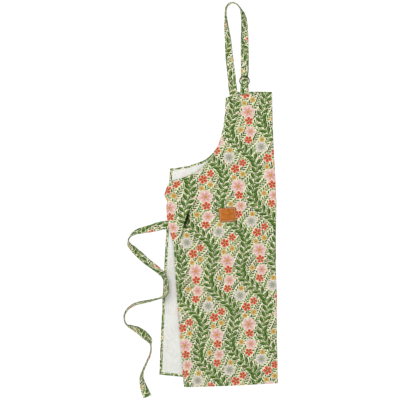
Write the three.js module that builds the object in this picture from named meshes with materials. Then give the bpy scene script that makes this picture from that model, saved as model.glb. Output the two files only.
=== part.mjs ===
// A cotton bib apron, folded once along its length, right side out, and laid flat.
// Millimetres. X runs to the right, Y towards the neck strap and Z up from the surface.
import * as THREE from 'three';

// Thicknesses, and the clearance that touching pieces keep.
const CLOTH = 1.2;
const LEATHER = 1.8;
const GAP = 0.3;

// Flat pattern of the panel: u runs across from its middle line, v up from its hem.
const BIB_HALF = 131;
const SKIRT_HALF = { underarm: 323.5, hem: 331, taper: 3 }; // most of the taper is high up
const UNDERARM = 651;
const BIB_CORNER = 896;
const BIB_BOW = 5; // the bib's top edge rises this much towards the middle
const HEM_BOW = { rise: 11, fades: 300 }; // the hem's corners lie higher than its middle
const ARMHOLE = { sideIn: 115, sideUp: 12, bibOut: 14, bibDown: 170 }; // handles of the curve

// The fold crosses the middle line at a small angle. It lies on the right, its hem end at x, y.
const FOLD = { x: 239, y: -566.5, leanDeg: 1.14, hemU: -38.6, slantDeg: 3.45 };
const BEND = { halfArc: 5.2, rise: 3.6, soft: 22 }; // the cloth swells a little along the fold
const FOLD_BOWS = [{ v: 595, wide: 115, out: 5.6 }, { v: 265, wide: 75, out: 2.6 }];
const BOW_FADES = 150; // the fold bows out in two places, and the cloth near it goes along

// The front layer lies over the back layer and over a tie between them.
const FRONT_FLOOR = 2 * (CLOTH + GAP);

// Patch pocket across the middle line, its back half under the back layer, which it lifts.
const POCKET = { half: 185, low: 382, high: 571 };
const LIFT = { high: CLOTH + GAP, margin: 30, ramp: 30 };

// Leather label on the pocket's front half.
const LABEL = { u: -154.2, v: 532.7, width: 53, height: 43.5, corner: 2.5, bevel: 0.4 };

// The front's free edge: pulled out by its tie, wavy, puckered at the tie's root.
const TIE_PULL = { out: 16, low: 445, full: 540, ease: 618, high: 656, inner: 190 };
const EDGE_WAVE = { lift: 1.6, length: 170, soft: 45 };
const PUCKER = { u: -273, v: 525, turnDeg: 25, high: 12, long: 28, wide: 14 };
const BACK_SAG = { drop: 6, u: 207, wide: 32, low: 560, full: 680 };
const BIB_DROOP = { drop: 1.8, clear: 6, over: 24, low: 760, full: 830 };

// The neck strap and the ties are flat cotton tubes.
const NECK_WIDTH = 25;
const TIE_WIDTH = 27;

// Wire ring, lying on the strap, which is threaded under its top and over its foot.
const RING = { x: 135.6, y: 369.7, radius: 14.9, wire: 1.6 };
const RING_Z = CLOTH + GAP + RING.wire;

// The short strap that holds the ring is a hairpin round the ring's lower arc.
const RING_TAB = { turnY: 361.6, turnRadius: 2.5, loopWidth: 23, footWidth: 27 };

// Mesh steps.
const SKIRT_ROWS = 11;
const TIE_ROWS = 13;
const ARMHOLE_ROWS = 13;
const FRONT_COLUMNS = 16;
const BEND_COLUMNS = 6;
const BACK_COLUMNS = 12;
const EDGE_CROWD = 1.3; // columns crowd a little towards the free edges
const POCKET_ROWS = 8;
const POCKET_COLUMNS = 8;
const STEPS_PER_ROW = 3;
const TURN_STEPS = 6;
const RING_SIDES = { wire: 10, round: 36 };

const table = (columns, rows) =>
  rows.map((row) => Object.fromEntries(columns.map((name, i) => [name, row[i]])));

// Routes along the middle of each strap. roll turns the strap about its route, in degrees:
// 0 lies flat, 90 stands on edge. rest is the height of what it lies on.
const NECK_ROUTE = table(['x', 'y', 'roll', 'rest', 'width'], [
  [104, 313, 0, 4.5, 24],
  [102, 326, 0, 4.5, NECK_WIDTH],
  [99, 348, 0, 0, NECK_WIDTH],
  [96.5, 376, 0, 0, NECK_WIDTH],
  [93, 404, -14, 0, NECK_WIDTH],
  [89.5, 435, -16, 0, NECK_WIDTH],
  [86.5, 466, -27, 0, NECK_WIDTH],
  [84, 497, -40, 0, NECK_WIDTH],
  [81, 522, -52, 0, NECK_WIDTH],
  [78.5, 543, -62, 0, NECK_WIDTH],
  [77.5, 565, -74, 0, NECK_WIDTH],
  [77, 584, -80, 0, NECK_WIDTH],
  [80.5, 599, -74, 0, NECK_WIDTH],
  [87.5, 607, -71, 0, NECK_WIDTH],
  [98.5, 611.5, -75, 0, NECK_WIDTH],
  [111.5, 606.5, -76, 0, NECK_WIDTH],
  [120, 597.5, -77, 0, NECK_WIDTH],
  [125.5, 588, -72, 0, NECK_WIDTH],
  [130.5, 576, -54, 0, NECK_WIDTH],
  [134, 559, -42, 0, NECK_WIDTH],
  [135.5, 537, -32, 0, NECK_WIDTH],
  [136, 497, -16, 0, NECK_WIDTH],
  [136.5, 450, -6, 0, NECK_WIDTH],
  [136.5, 410, 0, 0, NECK_WIDTH],
  [135.6, 379, 0, 0, 22.8],
  [135.6, 364.5, 0, 6.5, 23.4],
  [135.6, 355.5, 0, 6.5, 24],
]);

const FOOT_ROUTE = table(['x', 'y', 'roll', 'rest', 'width'], [
  [104, 311, 0, 6, 23],
  [102, 326, 0, 6.3, NECK_WIDTH],
  [99, 348, 0, 1.9, 26],
  [98, 358, 0, 1.5, 26],
  [97.7, 363, 0, 1.5, 23.5],
  [97.5, 365.6, 0, 1.5, 18],
  [97.4, 367, 0, 1.5, 9],
]);

const TIE_FRONT_ROUTE = table(['x', 'y', 'roll', 'rest'], [
  [-92, -75, 0, 1.5],
  [-111, -77, 0, 1.5],
  [-132, -81, 14, 0],
  [-157, -88, 32, 0],
  [-182, -93, 44, 0],
  [-204, -100, 61, 0],
  [-219, -113, 80, 0],
  [-224, -125, 80, 0],
  [-220, -139, 58, 0],
  [-207, -152.5, 40, 0],
  [-187.5, -170.5, 31, 0],
  [-166.5, -189.5, 33, 0],
  [-144.5, -206, 39, 0],
  [-126, -221, 45, 1.5],
  [-111, -240, 54, 1.5],
  [-107, -261, 54, 1.5],
  [-106, -280, 54, 1.5],
  [-111, -295, 66, 1.5],
  [-126, -302, 82, 1.5],
  [-151, -309, 79, 0],
  [-179, -315, 74, 0],
  [-205, -322, 74, 0],
  [-224, -335, 77, 0],
  [-235, -351, 78, 0],
  [-236, -370, 79, 0],
  [-229, -385, 76, 0],
  [-213, -393, 56, 0],
  [-194, -402, 36, 0],
  [-176, -416, 20, 0],
  [-161, -430, 40, 0],
  [-154, -449, 80, 0],
  [-156, -475, 79, 0],
  [-167, -501, 79, 0],
  [-178, -526, 78, 0],
  [-183, -545, 64, 0],
  [-181.5, -560, 50, 0],
  [-177, -577, 33, 0],
  [-170.5, -595, 18, 0],
  [-164.5, -609, 10, 0],
]);

const TIE_BACK_ROUTE = table(['x', 'y', 'roll', 'rest'], [
  [-101, -37, 0, 1.5],
  [-76, -41, 0, 1.5],
  [-56, -62, 0, 1.5],
  [-46, -97, 0, 1.5],
  [-44, -150, 0, 1.5],
  [-41, -210, 0, 1.5],
  [-28, -270, 0, 1.5],
  [8, -330, 0, 1.5],
  [45, -390, 0, 1.5],
  [82, -440, 0, 1.5],
  [110, -494, 0, 1.5],
  [136, -524, 0, 1.5],
  [168, -528, 0, 1.5],
  [191, -504, 0, 1.5],
  [196, -460, 0, 1.5],
  [191, -405, 0, 1.5],
  [184, -350, 0, 1.5],
]);

const { clamp, degToRad, lerp } = THREE.MathUtils;
const bell = (x, width) => Math.exp(-((x / width) ** 2));

// 0 at from, 1 at to, easing in and out, whichever of the two is larger.
function ease(from, to, x) {
  const t = clamp((x - from) / (to - from), 0, 1);
  return t * t * (3 - 2 * t);
}

const slantSin = Math.sin(degToRad(FOLD.slantDeg));
const slantCos = Math.cos(degToRad(FOLD.slantDeg));
const foldAlong = new THREE.Vector2(0, 1).rotateAround(new THREE.Vector2(), degToRad(FOLD.leanDeg));
const foldOut = new THREE.Vector2(foldAlong.y, -foldAlong.x);

// How far the tie draws the front's side edge out.
function tiePull(u, v) {
  const rows = ease(TIE_PULL.low, TIE_PULL.full, v) * (1 - ease(TIE_PULL.ease, TIE_PULL.high, v));
  return TIE_PULL.out * rows * ease(-TIE_PULL.inner, -SKIRT_HALF.underarm, u);
}

// Waves that lift the front's side edge.
function edgeWave(u, v) {
  const wave = 0.5 + 0.5 * Math.sin((2 * Math.PI * v) / EDGE_WAVE.length);
  const below = 1 - ease(TIE_PULL.ease, UNDERARM, v);
  return EDGE_WAVE.lift * wave * below * bell(SKIRT_HALF.underarm + u, EDGE_WAVE.soft);
}

// The ridge that runs in from the tie's root.
function puckerRidge(u, v) {
  const place = new THREE.Vector2(u - PUCKER.u, v - PUCKER.v);
  place.rotateAround(new THREE.Vector2(), degToRad(PUCKER.turnDeg));
  return PUCKER.high * bell(place.x, PUCKER.wide) * bell(place.y, PUCKER.long);
}

// The back layer lies a little lower along its armhole.
function backSag(u, v) {
  return BACK_SAG.drop * bell(u - BACK_SAG.u, BACK_SAG.wide) * ease(BACK_SAG.low, BACK_SAG.full, v);
}

// How far the fold bows out of its straight line, less and less away from it.
function foldBow(v, beyond) {
  const bows = FOLD_BOWS.map((bow) => bow.out * bell(v - bow.v, bow.wide));
  return bows.reduce((sum, bow) => sum + bow) * (1 - ease(0, BOW_FADES, beyond));
}

// The front bib's free side sinks where no back layer lies under it.
function bibDroop(v, reach) {
  const backReach = (BIB_HALF + BIB_DROOP.clear - FOLD.hemU) * slantCos - v * slantSin;
  const rows = ease(BIB_DROOP.low, BIB_DROOP.full, v);
  return BIB_DROOP.drop * rows * ease(0, BIB_DROOP.over, reach - backReach);
}

// 1 over the pocket's rows or columns, falling to 0 outside them.
const overPocketRows = (v) =>
  ease(POCKET.low - LIFT.margin - LIFT.ramp, POCKET.low - LIFT.margin, v) *
  ease(POCKET.high + LIFT.margin + LIFT.ramp, POCKET.high + LIFT.margin, v);
const overPocketColumns = (u) =>
  ease(POCKET.half + LIFT.margin + LIFT.ramp, POCKET.half + LIFT.margin, Math.abs(u));

// Takes a point of the flat pattern, h outside the cloth's wrong side, to the folded apron.
function folded(u, flatV, h) {
  const v = u < 0 ? flatV : flatV - backSag(u, flatV);
  const across = (u < 0 ? u - tiePull(u, v) : u) - FOLD.hemU;
  const along = across * slantSin + v * slantCos;
  const side = across * slantCos - v * slantSin; // below 0 on the front
  const reach = Math.abs(side);
  const topAtFold = FRONT_FLOOR + BEND.rise;
  const lowAtFold = CLOTH + LIFT.high * overPocketRows(along * slantCos);
  const radius = (topAtFold - lowAtFold) / 2;
  let out = foldBow(v, reach - BEND.halfArc) - radius - CLOTH;
  let z;
  if (reach < BEND.halfArc) {
    const angle = (-side / BEND.halfArc) * (Math.PI / 2);
    out += (radius + h) * Math.cos(angle);
    z = (topAtFold + lowAtFold) / 2 + (radius + h) * Math.sin(angle);
  } else if (side < 0) {
    out -= reach - BEND.halfArc;
    const swell = BEND.rise * bell(reach - BEND.halfArc, BEND.soft);
    z = FRONT_FLOOR + swell + edgeWave(u, v) + puckerRidge(u, v) - bibDroop(v, reach) + h;
  } else {
    out -= reach - BEND.halfArc;
    z = CLOTH + LIFT.high * overPocketRows(v) * overPocketColumns(u) - h;
  }
  const x = FOLD.x + along * foldAlong.x + out * foldOut.x;
  const y = FOLD.y + along * foldAlong.y + out * foldOut.y;
  return new THREE.Vector3(x, y, z);
}

function bodyFrom(points, index) {
  const geometry = new THREE.BufferGeometry().setFromPoints(points);
  geometry.setIndex(index);
  geometry.computeVertexNormals();
  return geometry;
}

// A closed cloth wall over a grid of flat places, from low to high above the wrong side.
function clothWall(grid, low, high) {
  const points = [high, low].flatMap((h) => grid.flat().map(([u, v]) => folded(u, v, h)));
  const columns = grid[0].length;
  const outer = (j, i) => j * columns + i;
  const inner = (j, i) => outer(j, i) + grid.length * columns;
  const index = [];
  const quad = (a, b, c, d) => index.push(a, b, c, a, c, d);
  const [top, last] = [grid.length - 1, columns - 1];
  for (let j = 0; j < top; j += 1) {
    for (let i = 0; i < last; i += 1) {
      quad(outer(j, i), outer(j, i + 1), outer(j + 1, i + 1), outer(j + 1, i));
      quad(inner(j, i), inner(j + 1, i), inner(j + 1, i + 1), inner(j, i + 1));
    }
    quad(inner(j, 0), outer(j, 0), outer(j + 1, 0), inner(j + 1, 0));
    quad(outer(j, last), inner(j, last), inner(j + 1, last), outer(j + 1, last));
  }
  for (let i = 0; i < last; i += 1) {
    quad(inner(0, i), inner(0, i + 1), outer(0, i + 1), outer(0, i));
    quad(outer(top, i), outer(top, i + 1), inner(top, i + 1), inner(top, i));
  }
  return bodyFrom(points, index);
}

const steps = (from, to, count) =>
  Array.from({ length: count }, (_, i) => lerp(from, to, i / count));

// Flat places along one row of a sheet, from its front edge round the fold to its back edge.
function rowPlaces(v, half, columns, bowed) {
  const sideOf = (u) => (u - FOLD.hemU) * slantCos - v * slantSin;
  const crowd = (count) => steps(0, 1, count).map((t) => t ** EDGE_CROWD);
  const { halfArc } = BEND;
  const front = crowd(columns.front).map((t) => lerp(sideOf(-half), -halfArc, t));
  const bend = steps(-halfArc, halfArc, BEND_COLUMNS);
  const back = crowd(columns.back).map((t) => lerp(sideOf(half), halfArc, t));
  return [...front, ...bend, halfArc, ...back.reverse()].map((side) => {
    const u = FOLD.hemU + (side + v * slantSin) / slantCos;
    return [u, bowed(v, u / half)];
  });
}

// The hem and the bib's top edge are slightly rounded.
function panelBow(v, share) {
  const hem = HEM_BOW.rise * share ** 2 * (1 - ease(0, HEM_BOW.fades, v));
  return v + hem + BIB_BOW * (1 - share ** 2) * ease(UNDERARM, BIB_CORNER, v);
}

const skirtHalf = (v) =>
  lerp(SKIRT_HALF.hem, SKIRT_HALF.underarm, (v / UNDERARM) ** SKIRT_HALF.taper);

function panel() {
  const armhole = new THREE.CubicBezierCurve(
    new THREE.Vector2(SKIRT_HALF.underarm, UNDERARM),
    new THREE.Vector2(SKIRT_HALF.underarm - ARMHOLE.sideIn, UNDERARM + ARMHOLE.sideUp),
    new THREE.Vector2(BIB_HALF + ARMHOLE.bibOut, BIB_CORNER - ARMHOLE.bibDown),
    new THREE.Vector2(BIB_HALF, BIB_CORNER),
  );
  const skirt = [
    ...steps(0, TIE_PULL.low, SKIRT_ROWS),
    ...steps(TIE_PULL.low, UNDERARM, TIE_ROWS),
  ].map((v) => new THREE.Vector2(skirtHalf(v), v));
  const columns = { front: FRONT_COLUMNS, back: BACK_COLUMNS };
  const edge = [...skirt, ...armhole.getPoints(ARMHOLE_ROWS)];
  return clothWall(edge.map((at) => rowPlaces(at.y, at.x, columns, panelBow)), 0, CLOTH);
}

function pocket() {
  const columns = { front: POCKET_COLUMNS, back: POCKET_COLUMNS };
  const rows = [...steps(POCKET.low, POCKET.high, POCKET_ROWS), POCKET.high];
  const grid = rows.map((v) => rowPlaces(v, POCKET.half, columns, (at) => at));
  return clothWall(grid, CLOTH + GAP, 2 * CLOTH + GAP);
}

// A closed flat strip through stations, each with a centre, a way across, a normal and a width.
function strip(stations) {
  const points = stations.flatMap(({ centre, across, normal, width }) => {
    const half = across.clone().multiplyScalar(width / 2);
    const thick = normal.clone().multiplyScalar(CLOTH / 2);
    return [
      centre.clone().sub(half).sub(thick),
      centre.clone().add(half).sub(thick),
      centre.clone().add(half).add(thick),
      centre.clone().sub(half).add(thick),
    ];
  });
  const index = [0, 2, 1, 0, 3, 2];
  for (let at = 0; at < points.length - 4; at += 4) {
    for (let i = 0; i < 4; i += 1) {
      const next = (i + 1) % 4;
      index.push(at + i, at + next, at + 4 + next, at + i, at + 4 + next, at + 4 + i);
    }
  }
  const end = points.length - 4;
  index.push(end, end + 1, end + 2, end, end + 2, end + 3);
  return bodyFrom(points, index);
}

// A strap along a route: it lies or leans on its lower edge, rest above the surface.
function ribbon(route) {
  const middle = route.map(({ x, y }) => new THREE.Vector3(x, y, 0));
  const curve = new THREE.CatmullRomCurve3(middle, false, 'centripetal');
  const count = (route.length - 1) * STEPS_PER_ROW;
  const stations = [];
  for (let k = 0; k <= count; k += 1) {
    const row = Math.min(Math.floor(k / STEPS_PER_ROW), route.length - 2);
    const share = ease(0, 1, k / STEPS_PER_ROW - row);
    const between = (name) => lerp(route[row][name], route[row + 1][name], share);
    const roll = degToRad(between('roll'));
    const width = route[row].width ? between('width') : TIE_WIDTH;
    const along = curve.getTangent(k / count);
    const level = new THREE.Vector3(-along.y, along.x, 0).multiplyScalar(Math.cos(roll));
    const across = level.setZ(Math.sin(roll));
    const normal = along.clone().cross(across);
    const centre = curve.getPoint(k / count);
    centre.z = between('rest') + (width * Math.abs(across.z) + CLOTH * Math.abs(normal.z)) / 2;
    stations.push({ centre, across, normal, width });
  }
  return strip(stations);
}

// The hairpin strap: out from under the bib, round the ring's lower arc and back on top.
function ringTab() {
  const { turnY, turnRadius, loopWidth, footWidth } = RING_TAB;
  const lowLeg = RING_Z - turnRadius;
  const highLeg = RING_Z + turnRadius;
  const onBack = CLOTH + GAP + CLOTH / 2;
  const profile = table(['y', 'z', 'width'], [
    [322, onBack, footWidth],
    [338, onBack, footWidth],
    [348, lowLeg, loopWidth + 2],
  ]);
  for (let k = 0; k <= TURN_STEPS; k += 1) {
    const angle = (k / TURN_STEPS - 0.5) * Math.PI;
    const y = turnY + turnRadius * Math.cos(angle);
    profile.push({ y, z: RING_Z + turnRadius * Math.sin(angle), width: loopWidth });
  }
  profile.push(...table(['y', 'z', 'width'], [
    [351, highLeg, loopWidth + 1],
    [339, onBack + CLOTH + GAP, footWidth],
    [330, onBack + CLOTH + GAP, footWidth],
  ]));
  const across = new THREE.Vector3(-1, 0, 0);
  const centres = profile.map(({ y, z }) => new THREE.Vector3(RING.x, y, z));
  return strip(profile.map(({ width }, k) => {
    const before = centres[Math.max(k - 1, 0)];
    const after = centres[Math.min(k + 1, centres.length - 1)];
    const normal = after.clone().sub(before).normalize().cross(across);
    return { centre: centres[k], across, normal, width };
  }));
}

// A plate with round corners, its underside at z = 0.
function label() {
  const { bevel, corner } = LABEL;
  const [x, y] = [LABEL.width / 2 - bevel, LABEL.height / 2 - bevel];
  const outline = new THREE.Shape();
  outline.absarc(x - corner, y - corner, corner, 0, Math.PI / 2);
  outline.absarc(corner - x, y - corner, corner, Math.PI / 2, Math.PI);
  outline.absarc(corner - x, corner - y, corner, Math.PI, 1.5 * Math.PI);
  outline.absarc(x - corner, corner - y, corner, 1.5 * Math.PI, 2 * Math.PI);
  const plate = new THREE.ExtrudeGeometry(outline, {
    depth: LEATHER - 2 * bevel,
    bevelThickness: bevel,
    bevelSize: bevel,
    bevelSegments: 2,
    curveSegments: 4,
  });
  return plate.translate(0, 0, bevel);
}

const cotton = (color) => new THREE.MeshStandardMaterial({ color, roughness: 0.92, metalness: 0 });
const leather = (color) => new THREE.MeshStandardMaterial({ color, roughness: 0.6, metalness: 0 });
const metal = (color) => new THREE.MeshStandardMaterial({ color, roughness: 0.35, metalness: 1 });

const apron = new THREE.Group();

function addPiece(name, geometry, material) {
  const piece = new THREE.Mesh(geometry, material);
  piece.name = name;
  apron.add(piece);
  return piece;
}

addPiece('panel', panel(), cotton('#a9ad84'));
addPiece('pocket', pocket(), cotton('#a3a97c'));
addPiece('neck_strap', ribbon(NECK_ROUTE), cotton('#9aa276'));
addPiece('strap_foot', ribbon(FOOT_ROUTE), cotton('#b3ad8c'));
addPiece('ring_tab', ringTab(), cotton('#9fa77f'));
addPiece('tie_front', ribbon(TIE_FRONT_ROUTE), cotton('#9da379'));
addPiece('tie_back', ribbon(TIE_BACK_ROUTE), cotton('#9da379'));

const ring = addPiece(
  'ring',
  new THREE.TorusGeometry(RING.radius, RING.wire, RING_SIDES.wire, RING_SIDES.round),
  metal('#8f8a80'),
);
ring.position.set(RING.x, RING.y, RING_Z);

const patch = addPiece('label', label(), leather('#b96b2b'));
patch.position.copy(folded(LABEL.u, LABEL.v, 2 * (CLOTH + GAP)));
patch.rotation.z = degToRad(FOLD.leanDeg + FOLD.slantDeg);

// The origin is on the surface, under the middle of the apron's box.
apron.updateMatrixWorld(true);
const middle = new THREE.Box3().setFromObject(apron).getCenter(new THREE.Vector3());
apron.position.set(-middle.x, -middle.y, 0);

export default apron;
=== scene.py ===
"""Looks of a printed cotton bib apron, folded once along its length and laid flat.

Sizes are in millimetres, as in the part's source, and become metres when a mesh is made.
"""
import math

import bpy
import numpy as np
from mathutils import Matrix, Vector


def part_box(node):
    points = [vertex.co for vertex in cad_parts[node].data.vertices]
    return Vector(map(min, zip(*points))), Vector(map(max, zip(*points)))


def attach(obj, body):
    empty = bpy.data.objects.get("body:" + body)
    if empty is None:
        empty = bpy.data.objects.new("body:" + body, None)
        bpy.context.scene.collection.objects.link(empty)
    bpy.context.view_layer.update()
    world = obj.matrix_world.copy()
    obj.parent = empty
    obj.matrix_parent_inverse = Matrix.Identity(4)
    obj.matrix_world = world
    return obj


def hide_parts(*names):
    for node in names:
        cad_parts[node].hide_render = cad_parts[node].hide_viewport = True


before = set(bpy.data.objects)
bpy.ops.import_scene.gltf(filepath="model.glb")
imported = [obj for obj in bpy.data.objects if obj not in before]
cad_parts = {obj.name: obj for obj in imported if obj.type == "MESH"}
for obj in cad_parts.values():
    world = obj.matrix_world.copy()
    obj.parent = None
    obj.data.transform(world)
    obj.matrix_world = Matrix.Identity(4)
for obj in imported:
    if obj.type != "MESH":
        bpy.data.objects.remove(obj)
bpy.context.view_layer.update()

MM = 0.001

# Thicknesses, and the clearance that touching pieces keep.
CLOTH = 1.2
GAP = 0.3

# Flat pattern of the panel: u runs across from its middle line, v up from its hem.
BIB_HALF = 131
UNDERARM_HALF = 323.5
HEM_HALF = 331
SKIRT_TAPER = 3
UNDERARM = 651
BIB_CORNER = 896
BIB_BOW = 5
HEM_BOW = {"rise": 11, "fades": 300}
ARMHOLE = {"side_in": 115, "side_up": 12, "bib_out": 14, "bib_down": 170}

# The fold, and the bend of the cloth round it.
FOLD = {"x": 239, "y": -566.5, "lean": 1.14, "hem_u": -38.6, "slant": 3.45}
BEND = {"half_arc": 5.2, "rise": 3.6, "soft": 22}
FOLD_BOWS = [{"v": 595, "wide": 115, "out": 5.6}, {"v": 265, "wide": 75, "out": 2.6}]
BOW_FADES = 150
FRONT_FLOOR = 2 * (CLOTH + GAP)

POCKET = {"half": 185, "low": 382, "high": 571, "seam": 2.2, "top_hem": 18}
LIFT = {"high": CLOTH + GAP, "margin": 30, "ramp": 30}
LABEL = {"u": -154.2, "v": 532.7, "width": 53, "height": 43.5, "corner": 2.9}

# The front's free edge: pulled out by its tie, wavy, puckered at the tie's root.
TIE_PULL = {"out": 16, "low": 445, "full": 540, "ease": 618, "high": 656, "inner": 190}
EDGE_NICKS = [{"v": 589, "wide": 10, "out": -3}, {"v": 608, "wide": 8, "out": 4.5}]
NICKS_FADE = 30
EDGE_WAVE = {"lift": 1.6, "length": 170, "soft": 45}
PUCKER = {"u": -273, "v": 525, "turn": 25, "high": 12, "long": 28, "wide": 14}
PUCKER_VALLEY = {"crest": 1.6, "wide": 5.4, "steep": 8, "lips": 7, "close": 2.6}
BACK_SAG = {"drop": 6, "u": 207, "wide": 32, "low": 560, "full": 680}
BIB_DROOP = {"drop": 1.8, "clear": 6, "over": 24, "low": 760, "full": 830}

# Shallow unevenness of the front: waves, each with its reach along u and v and its start, and where
# it fades out.
RUMPLE_WAVES = [(31, 83, 0), (-90, 47, 1.3), (19, -39, 4)]
RUMPLE = {"high": 0.12, "round_label": 60, "below_bib": (90, 30), "from_fold": 40}

NECK_WIDTH = 25
TIE_WIDTH = 27
RING = {"x": 135.6, "y": 369.7, "radius": 14.9, "wire": 1.6}
RING_Z = CLOTH + GAP + RING["wire"]
RING_TAB = {"turn_y": 361.6, "turn_radius": 2.5, "loop_width": 23, "foot_width": 27}

# Sewing: turned hems on the wrong side, each with its width and its seam's place, and stitches.
# Hems that meet at a corner differ by a step in thickness, and each is cut further up the print.
HEM = {"straight": (8.5, 6.8), "armhole": (7, 5.4), "thick": 0.26, "step": 0.03, "cut": 47}
STITCH = {"pitch": 3.4, "length": 2.5, "half": 0.27, "high": 0.2, "proud": 0.03}
STRAP_SEAM = {"inset": 2.1, "high": 0.5}

# The print: slanting trails of leaves over finer ones, with blossoms in the bands between them.
TRAIL = {"lean": 14, "pitch": 104, "wave": 208, "sway": 22, "stem": 0.9}
TRAIL_LEAF = {"pitch": 16, "length": 25, "width": 10.5, "turn": 42}
FINE_TRAIL = {"lean": -52, "pitch": 18.5, "wave": 92, "sway": 4, "stem": 0.55}
FINE_LEAF = {"pitch": 8.2, "length": 12.5, "width": 4.8, "turn": 40}
BERRY = {"cell": 17, "radius": 1.7}
PRINT_START = (-15, 0)

# Half widths of a leaf's rib and of an ink's soft edge, and the bare ground left round each motif.
RIB = 0.3
INK_EDGE = 0.25
RIMS = {"leaf": 1, "berry": 0.8, "blossom": 1.3}

# How much of the print shows on the wrong side, and the painted shade along the bottom of the tuck:
# its half width and how dark it is.
GHOST = 0.23
PAINTED_TUCK_SHADE = {"half": 6, "ink": 0.8}

# Mesh steps: stretches of v up the skirt, closest where the cloth puckers, each with its rows, and
# columns over the front, round the fold and over the back. A hem's seam stops short of its corners by
# SEAM_SHORT steps. Faces that meet at over SHARP_ANGLE degrees keep a sharp edge.
SKIRT_ROWS = [(0, 486, 58), (486, 566, 60), (566, UNDERARM, 24)]
ARMHOLE_ROWS = 64
POCKET_ROWS = 60
PANEL_COLUMNS = (130, 15, 45)
POCKET_COLUMNS = (90, 15, 60)
HEM_PITCH = 4
SEAM_PITCH = 2
SEAM_SHORT = 3
STEPS_PER_ROW = 8
SHARP_ANGLE = 50


def route(width, rows):
    """A strap's route. Rows without a width of their own get the strap's."""
    return [(*row, width)[:5] for row in rows]


# Routes along the middle of each strap: x, y, roll in degrees, height that it rests at, and width
# where it isn't the strap's usual one.
NECK_ROUTE = route(NECK_WIDTH, [
    (104, 313, 0, 4.5, 24),
    (102, 326, 0, 4.5),
    (99, 348, 0, 0),
    (96.5, 376, 0, 0),
    (93, 404, -14, 0),
    (89.5, 435, -16, 0),
    (86.5, 466, -27, 0),
    (84, 497, -40, 0),
    (81, 522, -52, 0),
    (78.5, 543, -62, 0),
    (77.5, 565, -74, 0),
    (77, 584, -80, 0),
    (80.5, 599, -74, 0),
    (87.5, 607, -71, 0),
    (98.5, 611.5, -75, 0),
    (111.5, 606.5, -76, 0),
    (120, 597.5, -77, 0),
    (125.5, 588, -72, 0),
    (130.5, 576, -54, 0),
    (134, 559, -42, 0),
    (135.5, 537, -32, 0),
    (136, 497, -16, 0),
    (136.5, 450, -6, 0),
    (136.5, 410, 0, 0),
    (135.6, 379, 0, 0, 22.8),
    (135.6, 364.5, 0, 6.5, 23.4),
    (135.6, 355.5, 0, 6.5, 24),
])

FOOT_ROUTE = route(NECK_WIDTH, [
    (104, 311, 0, 6, 23),
    (102, 326, 0, 6.3),
    (99, 348, 0, 1.9, 26),
    (98, 358, 0, 1.5, 26),
    (97.7, 363, 0, 1.5, 23.5),
    (97.5, 365.6, 0, 1.5, 18),
    (97.4, 367, 0, 1.5, 9),
])

TIE_FRONT_ROUTE = route(TIE_WIDTH, [
    (-92, -75, 0, 1.5),
    (-111, -77, 0, 1.5),
    (-132, -81, 14, 0),
    (-157, -88, 32, 0),
    (-182, -93, 44, 0),
    (-204, -100, 61, 0),
    (-219, -113, 80, 0),
    (-224, -125, 80, 0),
    (-220, -139, 58, 0),
    (-207, -152.5, 40, 0),
    (-187.5, -170.5, 31, 0),
    (-166.5, -189.5, 33, 0),
    (-144.5, -206, 39, 0),
    (-126, -221, 45, 1.5),
    (-111, -240, 54, 1.5),
    (-107, -261, 54, 1.5),
    (-106, -280, 54, 1.5),
    (-111, -295, 66, 1.5),
    (-126, -302, 82, 1.5),
    (-151, -309, 79, 0),
    (-179, -315, 74, 0),
    (-205, -322, 74, 0),
    (-224, -335, 77, 0),
    (-235, -351, 78, 0),
    (-236, -370, 79, 0),
    (-229, -385, 76, 0),
    (-213, -393, 56, 0),
    (-194, -402, 36, 0),
    (-176, -416, 20, 0),
    (-161, -430, 40, 0),
    (-154, -449, 80, 0),
    (-156, -475, 79, 0),
    (-167, -501, 79, 0),
    (-178, -526, 78, 0),
    (-183, -545, 64, 0),
    (-181.5, -560, 50, 0),
    (-177, -577, 33, 0),
    (-170.5, -595, 18, 0),
    (-164.5, -609, 10, 0),
])

TIE_BACK_PLACES = [
    (-101, -37), (-76, -41), (-56, -62), (-46, -97), (-44, -150), (-41, -210), (-28, -270),
    (8, -330), (45, -390), (82, -440), (110, -494), (136, -524), (168, -528), (191, -504),
    (196, -460), (191, -405), (184, -350),
]
TIE_BACK_ROUTE = route(TIE_WIDTH, [(x, y, 0, CLOTH + GAP) for x, y in TIE_BACK_PLACES])

# The way from the source's frame to the part's, found from where the ring lies.
ring_low, ring_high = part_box("ring")
SHIFT = np.array((ring_low + ring_high) / 2) / MM - (RING["x"], RING["y"], RING_Z)


def bell(x, width):
    return np.exp(-((x / width) ** 2))


def unit(vectors):
    return vectors / np.linalg.norm(vectors, axis=-1, keepdims=True)


def travelled(path):
    """How far along a path each of its places is."""
    return np.concatenate([[0], np.cumsum(np.linalg.norm(np.diff(path, axis=0), axis=1))])


def ease(start, end, x):
    """0 at start, 1 at end, easing in and out, whichever of the two is larger."""
    t = np.clip((x - start) / (end - start), 0, 1)
    return t * t * (3 - 2 * t)


def cos_sin(degrees):
    angle = math.radians(degrees)
    return math.cos(angle), math.sin(angle)


SLANT_COS, SLANT_SIN = cos_sin(FOLD["slant"])
FOLD_OUT = cos_sin(FOLD["lean"])
FOLD_ALONG = (-FOLD_OUT[1], FOLD_OUT[0])


def tie_pull(u, v):
    """How far the tie draws the front's side edge out, with two small nicks of the edge."""
    rows = ease(TIE_PULL["low"], TIE_PULL["full"], v)
    rows = rows * (1 - ease(TIE_PULL["ease"], TIE_PULL["high"], v))
    nicks = sum(nick["out"] * bell(v - nick["v"], nick["wide"]) for nick in EDGE_NICKS)
    nicks = nicks * ease(NICKS_FADE - UNDERARM_HALF, -UNDERARM_HALF, u)
    return TIE_PULL["out"] * rows * ease(-TIE_PULL["inner"], -UNDERARM_HALF, u) + nicks


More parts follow.
